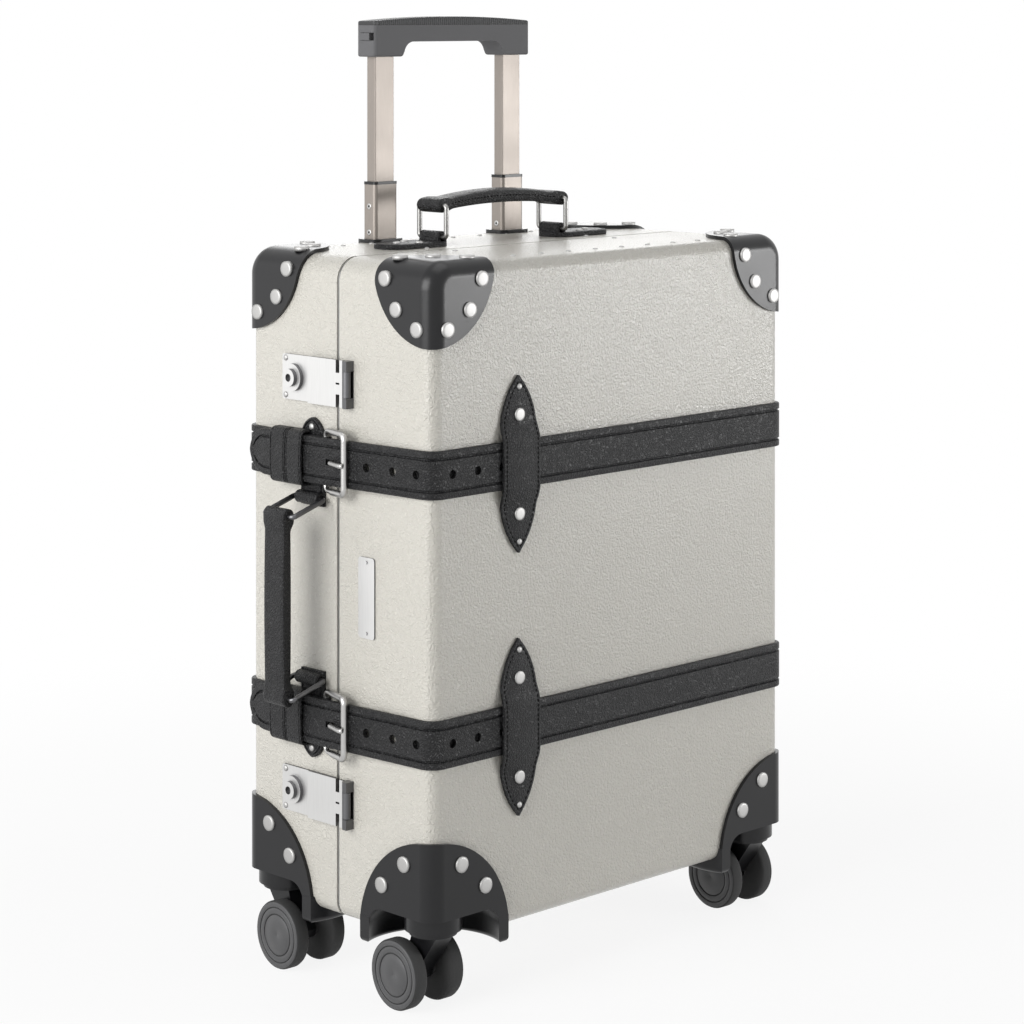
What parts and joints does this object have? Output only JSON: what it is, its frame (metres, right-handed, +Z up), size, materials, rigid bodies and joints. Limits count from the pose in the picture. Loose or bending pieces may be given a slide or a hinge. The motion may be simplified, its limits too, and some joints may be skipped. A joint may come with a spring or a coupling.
{
  "type": "carry-on suitcase",
  "caption": "Upright fibre-board cabin suitcase with leather straps, corner caps, locks, folding handles, two-stage trolley handle and twin-wheel casters.",
  "frame": {"origin": "on the floor under the middle of the overall box", "axes": "+X to the right seen from the front, +Y from the front lid to the back, +Z up"},
  "size_m": [0.4317, 0.2162, 0.7191],
  "materials": {
    "shell_board": "pebbled fibre board, semi-gloss ivory",
    "rim_metal": "satin grey rim in the split",
    "lining_cloth": "woven lining",
    "moulded_black": "satin black moulding",
    "strap_leather": "black pebbled leather with creased edges",
    "nickel": "polished nickel",
    "satin_nickel": "satin nickel",
    "dark_metal": "dark nickel",
    "tube_champagne": "anodised champagne",
    "grip_plastic": "matte dark grey",
    "wheel_rubber": "matte black wheel"
  },
  "bodies": {
    "base": {"base_shell": "shell_board", "base_rim": "rim_metal", "base_lining": "lining_cloth", "cap_top_rear_left": "moulded_black", "cap_top_rear_right": "moulded_black", "cap_bottom_rear_left": "moulded_black", "cap_bottom_rear_right": "moulded_black", "lock_plates": "satin_nickel", "top_handle_mounts": "strap_leather", "side_handle_mounts": "strap_leather", "base_straps": "strap_leather", "base_strap_keepers": "strap_leather", "trolley_outer_tubes": "tube_champagne", "trolley_bezels": "moulded_black", "trolley_cover": "lining_cloth", "base_hinge_leaves": "satin_nickel", "base_rivets": "nickel", "strap_hinge_spans": "strap_leather"},
    "lid": {"lid_shell": "shell_board", "lid_lining": "lining_cloth", "cap_top_front_left": "moulded_black", "cap_top_front_right": "moulded_black", "cap_bottom_front_left": "moulded_black", "cap_bottom_front_right": "moulded_black", "hasp_leaves": "dark_metal", "lid_straps": "strap_leather", "lid_strap_keepers": "strap_leather", "lid_hinge_leaves": "satin_nickel", "name_plate": "satin_nickel", "lid_rivets": "nickel"},
    "hasp_upper": {"hasp_upper": "satin_nickel"},
    "lock_button_upper": {"lock_button_upper": "nickel"},
    "buckle_frame_upper": {"buckle_frame_upper": "nickel"},
    "buckle_prong_upper": {"buckle_prong_upper": "nickel"},
    "hasp_lower": {"hasp_lower": "satin_nickel"},
    "lock_button_lower": {"lock_button_lower": "nickel"},
    "buckle_frame_lower": {"buckle_frame_lower": "nickel"},
    "buckle_prong_lower": {"buckle_prong_lower": "nickel"},
    "top_handle_loop_left": {"top_handle_loop_left": "nickel"},
    "top_handle_loop_right": {"top_handle_loop_right": "nickel"},
    "top_handle_grip": {"top_handle_grip": "strap_leather"},
    "side_handle_loop_upper": {"side_handle_loop_upper": "dark_metal"},
    "side_handle_loop_lower": {"side_handle_loop_lower": "dark_metal"},
    "side_handle_grip": {"side_handle_grip": "strap_leather"},
    "trolley_middle": {"trolley_middle_tubes": "tube_champagne", "trolley_collars": "moulded_black"},
    "trolley_inner": {"trolley_inner_tubes": "tube_champagne", "trolley_grip": "grip_plastic", "trolley_grip_cap": "grip_plastic"},
    "release_tab_left": {"release_tab_left": "grip_plastic"},
    "release_tab_right": {"release_tab_right": "grip_plastic"},
    "caster_fork_front_left": {"caster_fork_front_left": "moulded_black"},
    "caster_wheels_front_left": {"caster_wheels_front_left": "wheel_rubber"},
    "caster_fork_front_right": {"caster_fork_front_right": "moulded_black"},
    "caster_wheels_front_right": {"caster_wheels_front_right": "wheel_rubber"},
    "caster_fork_rear_left": {"caster_fork_rear_left": "moulded_black"},
    "caster_wheels_rear_left": {"caster_wheels_rear_left": "wheel_rubber"},
    "caster_fork_rear_right": {"caster_fork_rear_right": "moulded_black"},
    "caster_wheels_rear_right": {"caster_wheels_rear_right": "wheel_rubber"}
  },
  "joints": [
    {"name": "lid_hinge", "type": "hinge", "parent": "base", "child": "lid", "pos_m": [0.21346, 0, 0.29375], "axis": [0, 0, 1], "range_deg": [0, 100], "deforming": ["strap_hinge_spans"]},
    {"name": "hasp_upper_hinge", "type": "hinge", "parent": "lid", "child": "hasp_upper", "pos_m": [-0.17824, -0.0141, 0.4485], "axis": [0, 0, 1], "range_deg": [0, 110]},
    {"name": "lock_button_upper_push", "type": "slide", "parent": "base", "child": "lock_button_upper", "axis": [1, 0, 0], "range_m": [0, 0.002], "stiffness_N_per_m": 400},
    {"name": "buckle_upper_lift", "type": "hinge", "parent": "base", "child": "buckle_frame_upper", "pos_m": [-0.17753, 0.0097, 0.3905], "axis": [0, 0, -1], "range_deg": [0, 6]},
    {"name": "prong_upper_lift", "type": "hinge", "parent": "buckle_frame_upper", "child": "buckle_prong_upper", "pos_m": [-0.17753, 0.0097, 0.3905], "axis": [0, 0, -1], "range_deg": [0, 3]},
    {"name": "hasp_lower_hinge", "type": "hinge", "parent": "lid", "child": "hasp_lower", "pos_m": [-0.17824, -0.0141, 0.139], "axis": [0, 0, 1], "range_deg": [0, 110]},
    {"name": "lock_button_lower_push", "type": "slide", "parent": "base", "child": "lock_button_lower", "axis": [1, 0, 0], "range_m": [0, 0.002], "stiffness_N_per_m": 400},
    {"name": "buckle_lower_lift", "type": "hinge", "parent": "base", "child": "buckle_frame_lower", "pos_m": [-0.17753, 0.0097, 0.197], "axis": [0, 0, -1], "range_deg": [0, 6]},
    {"name": "prong_lower_lift", "type": "hinge", "parent": "buckle_frame_lower", "child": "buckle_prong_lower", "pos_m": [-0.17753, 0.0097, 0.197], "axis": [0, 0, -1], "range_deg": [0, 3]},
    {"name": "top_handle_fold", "type": "hinge", "parent": "base", "child": "top_handle_loop_left", "pos_m": [-0.04804, 0.0324, 0.548], "axis": [0, 1, 0], "range_deg": [-60, 60]},
    {"name": "top_handle_fold_right", "type": "hinge", "parent": "base", "child": "top_handle_loop_right", "pos_m": [0.08396, 0.0324, 0.548], "axis": [0, 1, 0], "range_deg": [-60, 60]},
    {"name": "top_handle_level", "type": "hinge", "parent": "top_handle_loop_left", "child": "top_handle_grip", "pos_m": [-0.04804, 0.0324, 0.5725], "axis": [0, 1, 0], "range_deg": [-60, 60]},
    {"name": "side_handle_fold", "type": "hinge", "parent": "base", "child": "side_handle_loop_upper", "pos_m": [-0.17924, 0.0264, 0.361], "axis": [0, 1, 0], "range_deg": [-20, 52]},
    {"name": "side_handle_fold_lower", "type": "hinge", "parent": "base", "child": "side_handle_loop_lower", "pos_m": [-0.17924, 0.0264, 0.2265], "axis": [0, 1, 0], "range_deg": [-20, 52]},
    {"name": "side_handle_level", "type": "hinge", "parent": "side_handle_loop_upper", "child": "side_handle_grip", "pos_m": [-0.20928, 0.0264, 0.35153], "axis": [0, 1, 0], "range_deg": [-52, 20]},
    {"name": "trolley_middle_slide", "type": "slide", "parent": "base", "child": "trolley_middle", "axis": [0, 0, 1], "range_m": [-0.042, 0.19]},
    {"name": "trolley_inner_slide", "type": "slide", "parent": "trolley_middle", "child": "trolley_inner", "axis": [0, 0, 1], "range_m": [-0.096, 0.128]},
    {"name": "release_tab_left_slide", "type": "slide", "parent": "trolley_inner", "child": "release_tab_left", "axis": [0, -1, 0], "range_m": [0, 0.0034], "stiffness_N_per_m": 300},
    {"name": "release_tab_right_slide", "type": "slide", "parent": "trolley_inner", "child": "release_tab_right", "axis": [0, -1, 0], "range_m": [0, 0.0034], "stiffness_N_per_m": 300},
    {"name": "swivel_front_left", "type": "hinge", "parent": "lid", "child": "caster_fork_front_left", "pos_m": [-0.15454, -0.08225, 0.059], "axis": [0, 0, 1], "continuous": true},
    {"name": "roll_front_left", "type": "hinge", "parent": "caster_fork_front_left", "child": "caster_wheels_front_left", "pos_m": [-0.15392, -0.06476, 0.0255], "axis": [0.9994, -0.0349, 0], "continuous": true},
    {"name": "swivel_front_right", "type": "hinge", "parent": "lid", "child": "caster_fork_front_right", "pos_m": [0.19046, -0.08225, 0.059], "axis": [0, 0, 1], "continuous": true},
    {"name": "roll_front_right", "type": "hinge", "parent": "caster_fork_front_right", "child": "caster_wheels_front_right", "pos_m": [0.19108, -0.06476, 0.0255], "axis": [0.9994, -0.0349, 0], "continuous": true},
    {"name": "swivel_rear_left", "type": "hinge", "parent": "base", "child": "caster_fork_rear_left", "pos_m": [-0.15454, 0.08225, 0.059], "axis": [0, 0, 1], "continuous": true},
    {"name": "roll_rear_left", "type": "hinge", "parent": "caster_fork_rear_left", "child": "caster_wheels_rear_left", "pos_m": [-0.15515, 0.06476, 0.0255], "axis": [-0.9994, 0.0349, 0], "continuous": true},
    {"name": "swivel_rear_right", "type": "hinge", "parent": "base", "child": "caster_fork_rear_right", "pos_m": [0.19046, 0.08225, 0.059], "axis": [0, 0, 1], "continuous": true},
    {"name": "roll_rear_right", "type": "hinge", "parent": "caster_fork_rear_right", "child": "caster_wheels_rear_right", "pos_m": [0.18985, 0.06476, 0.0255], "axis": [-0.9994, 0.0349, 0], "continuous": true}
  ],
  "couplings": [
    {"joint": "top_handle_fold_right", "follows": "top_handle_fold", "ratio": 1},
    {"joint": "top_handle_level", "follows": "top_handle_fold", "ratio": -1},
    {"joint": "side_handle_fold_lower", "follows": "side_handle_fold", "ratio": 1},
    {"joint": "side_handle_level", "follows": "side_handle_fold", "ratio": -1}
  ]
}
